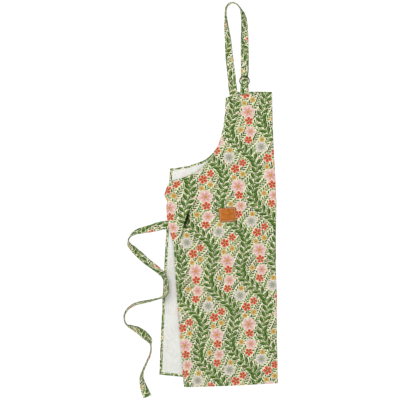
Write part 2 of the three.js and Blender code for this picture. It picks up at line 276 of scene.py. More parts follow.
def edge_wave(u, v):
    wave = 0.5 + 0.5 * np.sin(2 * math.pi * v / EDGE_WAVE["length"])
    below = 1 - ease(TIE_PULL["ease"], UNDERARM, v)
    return EDGE_WAVE["lift"] * wave * below * bell(UNDERARM_HALF + u, EDGE_WAVE["soft"])


def pucker(u, v):
    """Height of the two ridges that run in from the tie's root, and how far their lips lean in.

    The ridges stand either side of a deep narrow valley, and their lips almost close over it.
    """
    c, s = cos_sin(PUCKER["turn"])
    du, dv = u - PUCKER["u"], v - PUCKER["v"]
    across = du * c - dv * s
    length = bell(du * s + dv * c, PUCKER["long"])
    wide, lips = PUCKER_VALLEY["wide"], PUCKER_VALLEY["lips"]
    valley = np.exp(-(np.abs(across / wide) ** PUCKER_VALLEY["steep"]))
    lean = PUCKER_VALLEY["close"] * length * (bell(across + lips, wide) - bell(across - lips, wide))
    profile = bell(across, PUCKER["wide"]) - valley
    high = PUCKER["high"] * PUCKER_VALLEY["crest"] * profile * length
    return high, lean * c, -lean * s


def back_sag(u, v):
    rows = ease(BACK_SAG["low"], BACK_SAG["full"], v)
    return BACK_SAG["drop"] * bell(u - BACK_SAG["u"], BACK_SAG["wide"]) * rows


def fold_bow(v, beyond):
    """How far the fold bows out of its straight line, less and less away from it."""
    bows = sum(bow["out"] * bell(v - bow["v"], bow["wide"]) for bow in FOLD_BOWS)
    return bows * (1 - ease(0, BOW_FADES, beyond))


def bib_droop(v, reach):
    back_reach = (BIB_HALF + BIB_DROOP["clear"] - FOLD["hem_u"]) * SLANT_COS - v * SLANT_SIN
    rows = ease(BIB_DROOP["low"], BIB_DROOP["full"], v)
    return BIB_DROOP["drop"] * rows * ease(0, BIB_DROOP["over"], reach - back_reach)


def over_pocket_rows(v):
    low = POCKET["low"] - LIFT["margin"]
    high = POCKET["high"] + LIFT["margin"]
    return ease(low - LIFT["ramp"], low, v) * ease(high + LIFT["ramp"], high, v)


def over_pocket_columns(u):
    edge = POCKET["half"] + LIFT["margin"]
    return ease(edge + LIFT["ramp"], edge, np.abs(u))


def soft_rumple(u, v):
    """Shallow unevenness of the laid front, none of it under the label or on the bib's edge."""
    waves = sum(np.sin(u / across + v / up + start) for across, up, start in RUMPLE_WAVES)
    fades, gone = (BIB_CORNER - below for below in RUMPLE["below_bib"])
    share = 1 - bell(np.hypot(u - LABEL["u"], v - LABEL["v"]), RUMPLE["round_label"])
    return RUMPLE["high"] * (len(RUMPLE_WAVES) + waves) * share * (1 - ease(fades, gone, v))


def folded(u, flat_v, h):
    """Takes places of the flat pattern, h outside the cloth's wrong side, to the folded apron."""
    u, flat_v, h = np.broadcast_arrays(u, flat_v, h)
    half_arc = BEND["half_arc"]
    ridges, lean_u, lean_v = pucker(u, flat_v)
    v = np.where(u < 0, flat_v + lean_v, flat_v - back_sag(u, flat_v))
    across = np.where(u < 0, u + lean_u - tie_pull(u, v), u) - FOLD["hem_u"]
    along = across * SLANT_SIN + v * SLANT_COS
    side = across * SLANT_COS - v * SLANT_SIN
    beyond = np.maximum(np.abs(side) - half_arc, 0)
    top = FRONT_FLOOR + BEND["rise"]
    low = CLOTH + LIFT["high"] * over_pocket_rows(along * SLANT_COS)
    radius = (top - low) / 2
    angle = np.clip(-side / half_arc, -1, 1) * math.pi / 2
    out = (radius + h) * np.cos(angle) - radius - CLOTH - beyond + fold_bow(v, beyond)
    bent = (top + low) / 2 + (radius + h) * np.sin(angle)
    front = FRONT_FLOOR + BEND["rise"] * bell(beyond, BEND["soft"]) + h
    front = front + edge_wave(u, v) + ridges - bib_droop(v, beyond + half_arc)
    front = front + soft_rumple(u, v) * ease(0, RUMPLE["from_fold"], beyond)
    back = CLOTH + LIFT["high"] * over_pocket_rows(v) * over_pocket_columns(u) - h
    z = np.where(beyond == 0, bent, np.where(side < 0, front, back))
    x = FOLD["x"] + along * FOLD_ALONG[0] + out * FOLD_OUT[0]
    y = FOLD["y"] + along * FOLD_ALONG[1] + out * FOLD_OUT[1]
    return np.stack([x, y, z], axis=-1)


def add_object(name, data):
    made = bpy.data.objects.new(name, data)
    bpy.context.scene.collection.objects.link(made)
    return made


def make_piece(name, points, faces, materials, corner_uv=None, face_material=None):
    """A smooth mesh object from points in millimetres, with its flat places as a UV map in metres."""
    mesh = bpy.data.meshes.new(name)
    mesh.from_pydata(((np.asarray(points) + SHIFT) * MM).tolist(), [], [list(f) for f in faces])
    for material in materials:
        mesh.materials.append(material)
    if face_material is not None:
        mesh.polygons.foreach_set("material_index", np.asarray(face_material, dtype=np.int32))
    if corner_uv is not None:
        layer = mesh.uv_layers.new(name="flat")
        layer.data.foreach_set("uv", (np.asarray(corner_uv) * MM).astype(np.float32).ravel())
    mesh.shade_smooth()
    mesh.set_sharp_from_angle(angle=math.radians(SHARP_ANGLE))
    mesh.validate()
    return add_object(name, mesh)


def border_of(rows, columns):
    """Indices round a grid, anticlockwise."""
    grid = np.arange(rows * columns).reshape(rows, columns)
    return np.concatenate([grid[0, :-1], grid[:-1, -1], grid[-1, :0:-1], grid[:0:-1, 0]])


def loop_outward(places):
    """Unit ways out of an anticlockwise loop of flat places."""
    ahead = unit(np.roll(places, -1, axis=0) - places)
    along = unit(ahead + np.roll(ahead, 1, axis=0))
    return np.stack([along[:, 1], -along[:, 0]], axis=1)


def cloth_wall(name, u, v, low, high, materials):
    """A closed cloth wall over a grid of flat places, with rounded edges.

    The first material is on the outside and round the edges, the second on the inside.
    """
    rows, columns = u.shape
    places = np.stack([u, v], axis=-1).reshape(-1, 2)
    border = border_of(rows, columns)
    outward = loop_outward(places[border])
    radius = (high - low) / 2
    places[border] -= outward * radius
    rims = []
    for angle in np.radians([45, 90, 135]):
        rim = places[border] + outward * radius * math.sin(angle)
        rims.append((rim, (low + high) / 2 + radius * math.cos(angle)))
    layers = [(places, high), (places, low), *rims]
    points = np.concatenate([folded(at[:, 0], at[:, 1], h) for at, h in layers])
    uv = np.concatenate([at for at, _ in layers])
    count = rows * columns
    corner = (np.arange(rows - 1)[:, None] * columns + np.arange(columns - 1)).ravel()
    outer = np.stack([corner, corner + 1, corner + columns + 1, corner + columns], axis=1)
    inner = outer[:, ::-1] + count
    loops = [border]
    loops += [2 * count + k * len(border) + np.arange(len(border)) for k in range(len(rims))]
    loops.append(border + count)
    edges = [
        np.stack([a, b, np.roll(b, -1), np.roll(a, -1)], axis=1) for a, b in zip(loops, loops[1:])
    ]
    faces = np.concatenate([outer, *edges, inner])
    inside = np.arange(len(faces)) >= len(faces) - len(inner)
    return make_piece(name, points, faces, materials, uv[faces].reshape(-1, 2), inside)


# Columns crowd where the front puckers, a little by the fold, and towards the back's free edge.
FRONT_CROWD = ((0, 0.09, 0.62, 0.88, 1), (0, 0.065, 0.226, 0.86, 1))
BACK_CROWD = 1.25


def row_places(v, half, columns, bow):
    """Grid of flat places whose rows run from the front edge round the fold to the back edge."""
    half_arc = BEND["half_arc"]
    front_count, bend_count, back_count = columns

    def side_of(u):
        return ((u - FOLD["hem_u"]) * SLANT_COS - v * SLANT_SIN)[:, None]

    front_share = np.interp(np.arange(front_count) / front_count, *FRONT_CROWD)
    back_share = ((np.arange(back_count) / back_count) ** BACK_CROWD)[::-1]
    front = side_of(-half) + (-half_arc - side_of(-half)) * front_share
    bend = np.tile(np.linspace(-half_arc, half_arc, bend_count), (len(v), 1))
    back = side_of(half) + (half_arc - side_of(half)) * back_share
    side = np.concatenate([front, bend, back], axis=1)
    u = FOLD["hem_u"] + (side + v[:, None] * SLANT_SIN) / SLANT_COS
    return u, bow(v[:, None], u / half[:, None])


def panel_bow(v, share):
    hem = HEM_BOW["rise"] * share ** 2 * (1 - ease(0, HEM_BOW["fades"], v))
    return v + hem + BIB_BOW * (1 - share ** 2) * ease(UNDERARM, BIB_CORNER, v)


def level_rows(v, share):
    return v + 0 * share


def bezier(p0, p1, p2, p3, count):
    t = np.linspace(0, 1, count)[:, None]
    return (1 - t) ** 3 * p0 + 3 * (1 - t) ** 2 * t * p1 + 3 * (1 - t) * t ** 2 * p2 + t ** 3 * p3


def panel_side():
    """Half widths and heights up the panel's side and armhole."""
    skirt_v = np.concatenate([np.linspace(*stretch, endpoint=False) for stretch in SKIRT_ROWS])
    taper = (skirt_v / UNDERARM) ** SKIRT_TAPER
    skirt = np.stack([HEM_HALF + (UNDERARM_HALF - HEM_HALF) * taper, skirt_v], axis=1)
    armhole = bezier(
        (UNDERARM_HALF, UNDERARM),
        (UNDERARM_HALF - ARMHOLE["side_in"], UNDERARM + ARMHOLE["side_up"]),
        (BIB_HALF + ARMHOLE["bib_out"], BIB_CORNER - ARMHOLE["bib_down"]),
        (BIB_HALF, BIB_CORNER),
        ARMHOLE_ROWS,
    )
    return np.concatenate([skirt, armhole])


def evenly(path, pitch):
    """Places at equal steps along a path of places in the plane or in space."""
    length = travelled(path)
    at = np.linspace(0, length[-1], max(2, round(length[-1] / pitch) + 1))
    return np.stack([np.interp(at, length, column) for column in path.T], axis=1)


def inset(path, distance):
    """A path in the flat pattern moved to its left."""
    along = unit(np.gradient(path, axis=0))
    return path + distance * np.stack([-along[:, 1], along[:, 0]], axis=1)


def strip_faces(rings, around):
    """Quads of a tube of rings, and its two end caps."""
    index = np.arange(rings * around).reshape(rings, around)
    a, b = index[:-1], index[1:]
    sides = np.stack([a, np.roll(a, -1, axis=1), np.roll(b, -1, axis=1), b], axis=-1).reshape(-1, 4)
    return sides.tolist() + [index[0][::-1].tolist(), index[-1].tolist()]


# Half a strap's section: distance from its long edge, and half its thickness there. Next to each edge,
# over the width given last, the print gives way to a grey brown that is partly rubbed wear and partly
# painted shade.
STRAP_SECTION = [(0, 0), (0.12, 0.3), (0.4, 0.5), (0.9, 0.59)]
STRAP_SECTION += [(1.6, 0.57), (2.1, 0.48), (2.6, 0.57), (4, 0.62)]
STRAP_WEAR_AND_SHADE = 0.7


def print_place(sideways, ahead):
    """The flat place at a distance across the print's trails and a distance up them."""
    c, s = cos_sin(TRAIL["lean"])
    return np.stack([sideways * c - ahead * s, sideways * s + ahead * c], axis=-1) + PRINT_START


def strap_ring(width):
    """Places round a strap's section, anticlockwise from its left edge: across, up, unrolled."""
    left = [(-width / 2 + at, -up) for at, up in STRAP_SECTION]
    right = [(-x, up) for x, up in reversed(left)]
    under = np.array([*left, *right])
    over = under[-2:0:-1] * (1, -1)
    ring = np.concatenate([under, over])
    return ring, travelled([*ring, ring[0]])


def strap_piece(name, stations, cut):
    """A flat cotton tube through stations, each a centre, a way across, a normal and a width.

    It is cut from the print along a trail of leaves. cut says which trail and how far up it.
    The two edges are worn, and their dark tone is partly painted shade.
    """
    centre, across, normal, width = stations
    ahead = cut[1] + travelled(centre)
    points, flat = [], []
    # The middle of the upper face is one and a half widths round the section.
    for k in range(len(centre)):
        ring, unrolled = strap_ring(width[k])
        points.append(centre[k] + ring[:, :1] * across[k] + ring[:, 1:] * normal[k])
        sideways = cut[0] * TRAIL["pitch"] + unrolled - 1.5 * width[k]
        flat.append(print_place(sideways, np.full(len(unrolled), ahead[k])))
    flat = np.array(flat)
    corners = [flat[:-1, :-1], flat[:-1, 1:], flat[1:, 1:], flat[1:, :-1]]
    faces = strip_faces(len(points), len(points[0]))
    caps = np.tile(flat[0, 0], (len(faces[-2]) + len(faces[-1]), 1))
    corner_uv = np.concatenate([np.stack(corners, axis=2).reshape(-1, 2), caps])
    ring, _ = strap_ring(width[0])
    from_middle = np.abs(ring[:, 0] + np.roll(ring[:, 0], -1)) / 2
    # Faces next to the edges take the grey brown of wear and painted shade.
    worn_and_shaded_faces = np.tile(from_middle > width[0] / 2 - STRAP_WEAR_AND_SHADE, len(points) - 1)
    materials, worn_and_shaded_faces = [PRINT, WORN_AND_SHADED], [*worn_and_shaded_faces, False, False]
    return make_piece(name, np.concatenate(points), faces, materials, corner_uv, worn_and_shaded_faces)


def smooth_route(places, steps):
    """Places and directions on a centripetal Catmull-Rom curve through places in the plane."""
    padded = [2 * places[0] - places[1], *places, 2 * places[-1] - places[-2]]
    at, along = [], []
    for k in range(len(places) - 1):
        p0, p1, p2, p3 = padded[k:k + 4]
        d0, d1, d2 = (math.sqrt(np.linalg.norm(b - a)) for a, b in ((p0, p1), (p1, p2), (p2, p3)))
        m1 = ((p1 - p0) / d0 - (p2 - p0) / (d0 + d1) + (p2 - p1) / d1) * d1
        m2 = ((p2 - p1) / d1 - (p3 - p1) / (d1 + d2) + (p3 - p2) / d2) * d1
        c2 = -3 * p1 + 3 * p2 - 2 * m1 - m2
        c3 = 2 * p1 - 2 * p2 + m1 + m2
        last = k == len(places) - 2
        for t in np.linspace(0, 1, steps + last, endpoint=last):
            at.append(p1 + m1 * t + c2 * t ** 2 + c3 * t ** 3)
            along.append(unit(m1 + 2 * c2 * t + 3 * c3 * t ** 2))
    return np.array(at), np.array(along)


def route_stations(route):
    """Stations of a strap along a route: it lies or leans on its lower edge, at its rest height."""
    table = np.array(route, dtype=float)
    at, along = smooth_route(table[:, :2], STEPS_PER_ROW)
    place = np.arange(len(at)) / STEPS_PER_ROW
    row = np.minimum(place.astype(int), len(table) - 2)
    share = ease(0, 1, place - row)[:, None]
    roll, rest, width = (table[row, 2:] * (1 - share) + table[row + 1, 2:] * share).T
    roll = np.radians(roll)
    across = np.stack([-along[:, 1] * np.cos(roll), along[:, 0] * np.cos(roll), np.sin(roll)], axis=1)
    ahead = np.column_stack([along, np.zeros(len(along))])
    normal = np.cross(ahead, across)
    z = rest + (width * np.abs(across[:, 2]) + CLOTH * np.abs(normal[:, 2])) / 2
    return np.column_stack([at, z]), across, normal, width


def ring_tab_stations():
    """Stations of the short strap: out from under the bib, round the ring's foot and back on top."""
    turn_radius, loop, foot = (RING_TAB[k] for k in ("turn_radius", "loop_width", "foot_width"))
    on_back = 1.5 * CLOTH + GAP
    turn = [
        (RING_TAB["turn_y"] + turn_radius * math.cos(a), RING_Z + turn_radius * math.sin(a), loop)
        for a in np.linspace(-math.pi / 2, math.pi / 2, 13)
    ]
    lower = [(322, on_back, foot), (330, on_back, foot), (338, on_back, foot)]
    lower += [(343, on_back - 0.6, foot - 1), (348, RING_Z - turn_radius, loop + 2)]
    upper = [(351, RING_Z + turn_radius, loop + 1), (345, on_back + 2.6, foot - 2)]
    upper += [(339, on_back + CLOTH + GAP, foot), (330, on_back + CLOTH + GAP, foot)]
    y, z, width = np.array([*lower, *turn, *upper]).T
    centre = np.column_stack([np.full(len(y), RING["x"]), y, z])
    ahead = unit(np.gradient(centre, axis=0))
    across = np.tile((-1.0, 0, 0), (len(y), 1))
    return centre, across, np.cross(ahead, across), width


# One stitch: places along it, across it and up, as shares of its length, half width and height.
STITCH_POINTS = np.array(
    [(-0.5, 0, -0.6)]
    + [(x, y, z) for x in (-0.3, 0.3) for y, z in ((-1, 0), (0, 1), (1, 0), (0, -1))]
    + [(0.5, 0, -0.6)]
)
STITCH_FACES = (
    [(0, 1 + (k + 1) % 4, 1 + k) for k in range(4)]
    + [(1 + k, 1 + (k + 1) % 4, 5 + (k + 1) % 4, 5 + k) for k in range(4)]
    + [(9, 5 + k, 5 + (k + 1) % 4) for k in range(4)]
)


def stitch_piece(name, rows):
    """Rows of stitches. A row is its places in space and the way up from the cloth at each."""
    points, faces = [], []
    for places, up in rows:
        for k in range(len(places) - 1):
            ahead = unit(places[k + 1] - places[k])
            side = np.cross(up[k], ahead)
            axes = ahead * STITCH["length"], side * STITCH["half"], up[k] * STITCH["high"]
            middle = (places[k] + places[k + 1]) / 2
            start = len(points) * len(STITCH_POINTS)
            points.append(middle + STITCH_POINTS @ np.array(axes))
            faces += [tuple(start + i for i in face) for face in STITCH_FACES]
    return dress(make_piece(name, np.concatenate(points), faces, [THREAD]))


def flat_stitches(path, h, sign):
    """A row of stitches along a path of the flat pattern, on the cloth's face at height h."""
    at = evenly(path, STITCH["pitch"])
    places = folded(at[:, 0], at[:, 1], h)
    return places, unit(folded(at[:, 0], at[:, 1], h + sign) - places)


def strap_stitches(stations):
    """Rows of stitches along both edges of a strap, on both of its faces."""
    centre, across, normal, width = stations
    rows = []
    for edge in (-1, 1):
        for face in (-1, 1):
            out = edge * (width[:, None] / 2 - STRAP_SEAM["inset"])
            line = centre + across * out + normal * (face * STRAP_SEAM["high"])
            both = evenly(np.column_stack([line, normal * face]), STITCH["pitch"])
            rows.append((both[:, :3], both[:, 3:]))
    return rows


def hem_piece(name, path, depth, thick, cut):
    """A turned hem on the wrong side, to the left of a path of the flat pattern."""
    # Places round the hem's section: distance in from the edge, and height over the wrong side.
    section = [(0.5, 0.1), (0.5, 0.1 - thick), (0.9, -thick)]
    section += [(depth - 0.5, -thick), (depth, 0.12 - thick), (depth, 0.1)]
    lines = [inset(path, distance) for distance, _ in section]
    points = np.stack(
        [folded(line[:, 0], line[:, 1], h) for line, (_, h) in zip(lines, section)], axis=1
    )
    sideways = cut[0] * TRAIL["pitch"] + np.array([distance for distance, _ in section])
    flat = print_place(*np.meshgrid(sideways, cut[1] + travelled(path))).reshape(-1, 2)
    faces = strip_faces(len(path), len(section))
    corners = [corner for face in faces for corner in face]
    hem = make_piece(name, points.reshape(-1, 3), faces, [PRINT], flat[corners])
    return dress(hem)


class Field:
    """A number that varies over a surface, as a socket in a material's node tree."""

    def __init__(self, tree, socket):
        self.tree = tree
        self.socket = socket

    def __add__(self, other):
        return calculate("ADD", self, other)

    def __sub__(self, other):
        return calculate("SUBTRACT", self, other)

    def __rsub__(self, other):
        return calculate("SUBTRACT", other, self)

    def __mul__(self, other):
        return calculate("MULTIPLY", self, other)

    def __truediv__(self, other):
        return calculate("DIVIDE", self, other)

    def __rtruediv__(self, other):
        return calculate("DIVIDE", other, self)

    def __abs__(self):
        return calculate("ABSOLUTE", self)

    __radd__ = __add__
    __rmul__ = __mul__


def feed(tree, socket, value):
    """Gives a node's input a field, another node's output, or a plain number or colour."""
    if isinstance(value, Field):
        value = value.socket
    if isinstance(value, bpy.types.NodeSocket):
        tree.links.new(value, socket)
    else:
        socket.default_value = value


def new_node(tree, kind, inputs, **settings):
    """The outputs of a new node. Its inputs are given by name or by place."""
    node = tree.nodes.new(f"ShaderNode{kind}")
    for name, value in settings.items():
        setattr(node, name, value)
    for key, value in inputs.items():
        feed(tree, node.inputs[key], value)
    return node.outputs


def calculate(operation, *values):
    tree = next(value.tree for value in values if isinstance(value, Field))
    made = new_node(tree, "Math", dict(enumerate(values)), operation=operation)
    return Field(tree, made[0])


def sine(angle):
    return calculate("SINE", angle)


def cosine(angle):
    return calculate("COSINE", angle)


def wrap(value, period):
    """The value moved by whole periods to within half a period of zero."""
    return calculate("WRAP", value, period / 2, -period / 2)


def far(x, y):
    return calculate("SQRT", x * x + y * y)


def turned(x, y, degrees):
    c, s = cos_sin(degrees)
    return x * c + y * s, y * c - x * s


def blur_step(value, start, end):
    """0 below start, 1 above end, with a smooth step between them."""
    inputs = dict(enumerate((value, start, end, 0, 1)))
    made = new_node(value.tree, "MapRange", inputs, interpolation_type="SMOOTHSTEP")
    return Field(value.tree, made[0])


def inside(depth):
    """1 where a depth in millimetres is over zero, with a soft inked edge."""
    return blur_step(depth, -INK_EDGE, INK_EDGE)


def srgb(red, green, blue):
    """A colour of 0 to 255 as the linear light that shaders use."""
    shares = [c / 255 for c in (red, green, blue)]
    linear = [c / 12.92 if c < 0.04045 else ((c + 0.055) / 1.055) ** 2.4 for c in shares]
    return (*linear, 1)


def paint(mask, under, over):
    """A colour laid over another where the mask is 1."""
    return new_node(mask.tree, "Mix", {"Factor": mask, 6: under, 7: over}, data_type="RGBA")[2]


def paint_number(mask, under, over):
    """A number in place of another where the mask is 1."""
    return under + (over - under) * mask


def shaded(value, stops):
    """A colour ramp: stops are pairs of a place and a colour."""
    node = value.tree.nodes.new("ShaderNodeValToRGB")
    elements = node.color_ramp.elements
    while len(elements) < len(stops):
        elements.new(0.5)
    for element, (place, colour) in zip(elements, stops):
        element.position = place
        element.color = colour
    feed(value.tree, node.inputs[0], value)
    return node.outputs[0]


def split(tree, vector):
    """The three numbers of a vector or a colour."""
    return [Field(tree, part) for part in new_node(tree, "SeparateXYZ", {0: vector})]


def flat_place(tree):
    """The place on the flat cloth, in millimetres."""
    x, y, _ = split(tree, new_node(tree, "UVMap", {}, uv_map="flat")[0])
    return x * (1 / MM), y * (1 / MM)


def joined(x, y):
    return new_node(x.tree, "CombineXYZ", {0: x, 1: y})[0]


def noise(x, y, size, detail=2):
    """Smooth noise of 0 to 1 whose patches are about size across."""
    inputs = {"Vector": joined(x, y), "Scale": 1 / size, "Detail": detail}
    return Field(x.tree, new_node(x.tree, "TexNoise", inputs, noise_dimensions="2D")[0])


def cells(x, y, size, scatter=1):
    """Cells round spots about size apart: their places, colours and distances."""
    inputs = {"Vector": joined(x, y), "Scale": 1 / size, "Randomness": scatter}
    return new_node(x.tree, "TexVoronoi", inputs, voronoi_dimensions="2D")


def scattered(x, y, cell):
    """Places from the nearest of many scattered spots, each turned at random, and a random number."""
    spots = cells(x, y, cell, 0.75)
    spot_x, spot_y, _ = split(x.tree, spots["Position"])
    turn, chance, _ = split(x.tree, spots["Color"])
    dx, dy, angle = x - spot_x, y - spot_y, turn * (2 * math.pi)
    c, s = cosine(angle), sine(angle)
    return dx * c + dy * s, dy * c - dx * s, chance


# Inks of the print, and the painted shade at the bottom of the tuck.
CREAM = srgb(238, 236, 204)
LEAF_DARK = srgb(46, 82, 16)
LEAF_LIGHT = srgb(86, 120, 36)
SAGE = srgb(142, 162, 112)
STEM = srgb(58, 84, 34)
# Painted shade for the bottom of the tuck, not an ink of the print.
PAINTED_TUCK_SHADE_COLOUR = srgb(22, 26, 10)
CORAL = srgb(212, 88, 66)
CORAL_DEEP = srgb(172, 58, 44)
PINK = srgb(226, 188, 182)
PINK_DEEP = srgb(212, 152, 148)
OCHRE = srgb(194, 150, 56)
OCHRE_DEEP = srgb(146, 102, 34)
MAUVE = srgb(206, 198, 190)
MAUVE_DEEP = srgb(162, 158, 148)

# Blossoms of the repeat: kind, place up the repeat, offset from the band's middle, radius, turn.
BLOSSOMS = [
    ("pink", 0, 0, 21, 0.3),
    ("ochre", 29, -19, 8, 1.0),
    ("ochre", 31, 8, 9, 0.2),
    ("coral", 54, -12, 14, 2.2),
    ("coral", 64, 16, 12, 0.7),
    ("mauve", 93, -4, 18, 0.4),
    ("ochre", 113, 19, 8.5, 2.0),
    ("coral", 126, -13, 12.5, 1.5),
    ("pink", 148, 9, 16, 1.1),
    ("ochre", 163, -17, 8.5, 0.5),
    ("coral", 181, 10, 13, 2.8),
]
BLOSSOM_KINDS = {
    "pink": {"petals": 6, "notch": 0.2, "inks": (OCHRE, PINK_DEEP, PINK)},
    "ochre": {"petals": 7, "notch": 0.34, "inks": (OCHRE_DEEP, OCHRE, OCHRE)},
    "coral": {"petals": 5, "notch": 0.3, "inks": (OCHRE, CORAL_DEEP, CORAL)},
    "mauve": {"petals": 8, "notch": 0.26, "inks": (SAGE, MAUVE_DEEP, MAUVE)},
}


def leaf(along, across, length, width):
    """How deep a place is inside a pointed leaf that runs from 0 to its length."""
    share = along / length
    return share * (1 - share) * (2 * width) - abs(across)


def trail_depths(x, y, trail, leaves):
    """How deep a place is inside a swaying stem and inside its leaves, and its place across a leaf.

    A leaf grows from each side of the stem in turn. It can reach past where the next one grows,
    so the leaves that start at the last two steps are both worked out.
    """
    wave, pitch = 2 * math.pi / trail["wave"], leaves["pitch"]
    off = wrap(x - sine(y * wave) * trail["sway"], trail["pitch"])
    side = calculate("SIGN", off)
    step = calculate("FLOORED_MODULO", y + side * (pitch / 4), pitch)
    depth, blade = None, None
    for start in (0, pitch):
        up = step + start
        base = y - up
        slope = cosine(base * wave) * (trail["sway"] * wave)
        short = 1 / calculate("SQRT", slope * slope + 1)
        across = wrap(x - sine(base * wave) * trail["sway"], trail["pitch"])
        along = (across * slope + up) * short
        out = (across - up * slope) * short * side
        reach, width = turned(along, out, leaves["turn"])
        this = leaf(reach - trail["stem"], width, leaves["length"], leaves["width"])
        blade = width if blade is None else paint_number(inside(this), blade, width)
        depth = this if depth is None else calculate("MAXIMUM", depth, this)
    return trail["stem"] - abs(off), depth, blade


def draw_trails(x, y, colour):
    """The main trails, their leaves in two greens with a pale rib."""
    stem, depth, blade = trail_depths(x, y, TRAIL, TRAIL_LEAF)
    ink = paint(inside(blade), LEAF_LIGHT, LEAF_DARK)
    ink = paint(inside(RIB - abs(blade)), ink, SAGE)
    colour = paint(inside(depth + RIMS["leaf"]), colour, CREAM)
    colour = paint(inside(depth), colour, ink)
    return paint(inside(stem), colour, STEM)


def draw_fine_trails(x, y, colour):
    """Finer trails that cross behind the main ones, with berries scattered on them."""
    x, y = turned(x, y, FINE_TRAIL["lean"])
    stem, depth, _ = trail_depths(x, y, FINE_TRAIL, FINE_LEAF)
    patch = blur_step(noise(x, y, 45), 0.47, 0.53)
    ink = paint(patch, LEAF_LIGHT, LEAF_DARK)
    colour = paint(inside(calculate("MAXIMUM", stem, depth)), colour, ink)
    across, along, chance = scattered(x, y, BERRY["cell"])
    berry = BERRY["radius"] - far(across, along)
    colour = paint(inside(berry + RIMS["berry"]), colour, CREAM)
    return paint(inside(berry), colour, paint(blur_step(chance, 0.5, 0.52), CORAL, OCHRE))


def draw_blossom(x, y, colour, kind, up, offset, radius, turn):
    """One blossom of the repeat, with a pale rim of bare ground round it."""
    style = BLOSSOM_KINDS[kind]
    middle = TRAIL["pitch"] / 2 + TRAIL["sway"] * math.sin(2 * math.pi * up / TRAIL["wave"]) + offset
    dx, dy = wrap(x - middle, TRAIL["pitch"]), wrap(y - up, TRAIL["wave"])
    r = far(dx, dy)
    lobe = abs(cosine(calculate("ARCTAN2", dy, dx) * (style["petals"] / 2) + turn))
    edge = lobe * (radius * style["notch"]) + radius * (1 - style["notch"])
    heart, deep, petal = style["inks"]
    stops = [(0, heart), (0.2, heart), (0.25, deep), (0.48, deep), (0.72, petal), (1, petal)]
    ink = shaded(r / edge, stops)
    ink = paint(inside(0.16 - lobe) * inside(r - radius * 0.25), ink, CREAM)
    colour = paint(inside(edge + RIMS["blossom"] - r), colour, CREAM)
    return paint(inside(edge - r), colour, ink)


def painted_tuck_shade_mask(across, up):
    """Mask of the painted shade: 1 along the bottom of the tuck at the tie's root, 0 away from it."""
    along, off = turned(up - PUCKER["v"], across - PUCKER["u"], PUCKER["turn"])
    narrow = blur_step(abs(off), PAINTED_TUCK_SHADE["half"], PAINTED_TUCK_SHADE["half"] / 2)
    return narrow * blur_step(abs(along), PUCKER["long"], PUCKER["long"] / 2)


def print_colour(tree):
    """The whole print, worked out at each place of the flat cloth, with painted shade darkening the
    bottom of the tuck.
    """
    across, up = flat_place(tree)
    x, y = turned(across - PRINT_START[0], up - PRINT_START[1], TRAIL["lean"])
    colour = draw_fine_trails(x, y, CREAM)
    colour = draw_trails(x, y, colour)
    for blossom in BLOSSOMS:
        colour = draw_blossom(x, y, colour, *blossom)
    # Painted shade: the bottom of the tuck is darkened towards near black.
    return paint(painted_tuck_shade_mask(across, up) * PAINTED_TUCK_SHADE["ink"], colour, PAINTED_TUCK_SHADE_COLOUR)


def new_material(name, **values):
    """A material and its shader, with the values that are the same all over the surface."""
    material = bpy.data.materials.new(name)
    material.use_nodes = True
    shader = material.node_tree.nodes["Principled BSDF"]
    for socket, value in values.items():
        shader.inputs[socket.replace("_", " ")].default_value = value
    return material, material.node_tree, shader


def add_bump(tree, shader, height, depth_mm, strength):
    inputs = {"Height": height, "Distance": depth_mm * MM, "Strength": strength}
    feed(tree, shader.inputs["Normal"], new_node(tree, "Bump", inputs)[0])


# Cotton: the weave's pitch and depth, and how the cloth's tone is made up. The threads' share darkens
# the cloth where the weave is low, which is painted shade in its hollows as well as uneven threads;
# the patches are random tone.
WEAVE = {"pitch": 1.1, "deep": 0.16, "strength": 0.6}
TONE = {"base": 0.68, "threads": 0.11, "patches": 0.06, "patch": 70}


def weave(x, y):
    """Height of a plain weave of 0 to 1, with threads a little uneven."""
    thread = 2 * math.pi / WEAVE["pitch"]
    knots = sine(x * thread) * sine(y * thread)
    return knots * 0.4 + 0.3 + noise(x, y * 0.15, 0.8) * 0.2 + noise(x * 0.15, y, 0.8) * 0.2


def toned(tree, colour, value):
    """A colour made lighter or darker by a field."""
    return new_node(tree, "HueSaturation", {"Color": colour, "Value": value})[0]


def cotton_material(name, colour_of):
    material, tree, shader = new_material(name, Roughness=0.95, Specular_IOR_Level=0.06)
    x, y = flat_place(tree)
    threads = weave(x, y)
    # Painted shade: low parts of the weave get a darker tone, together with the threads' own
    # unevenness.
    tone = threads * TONE["threads"] + noise(x, y, TONE["patch"]) * TONE["patches"] + TONE["base"]
    feed(tree, shader.inputs["Base Color"], toned(tree, colour_of(tree), tone))
    add_bump(tree, shader, threads, WEAVE["deep"], WEAVE["strength"])
    return material


def wrong_side_colour(tree):
    """Bare cotton with a faint ghost of the print, which has not gone right through."""
    x, y = flat_place(tree)
    bare = paint(noise(x, y, 9, 4), srgb(232, 233, 227), srgb(243, 243, 239))
    return paint(noise(x, y, 25) * GHOST, bare, print_colour(tree))


def worn_and_shaded_edge_colour(tree):
    """The folded edges of the straps: the print turns to a grey brown that is partly rubbed wear and
    partly painted shade of the edges.
    """
    x, y = flat_place(tree)
    # Wear and painted shade: the edges' print is blended towards a dark grey brown.
    rubbed_and_shaded = blur_step(noise(x, y, 7, 3), 0.35, 0.65) * 0.6 + 0.25
    return paint(rubbed_and_shaded, print_colour(tree), srgb(98, 88, 78))


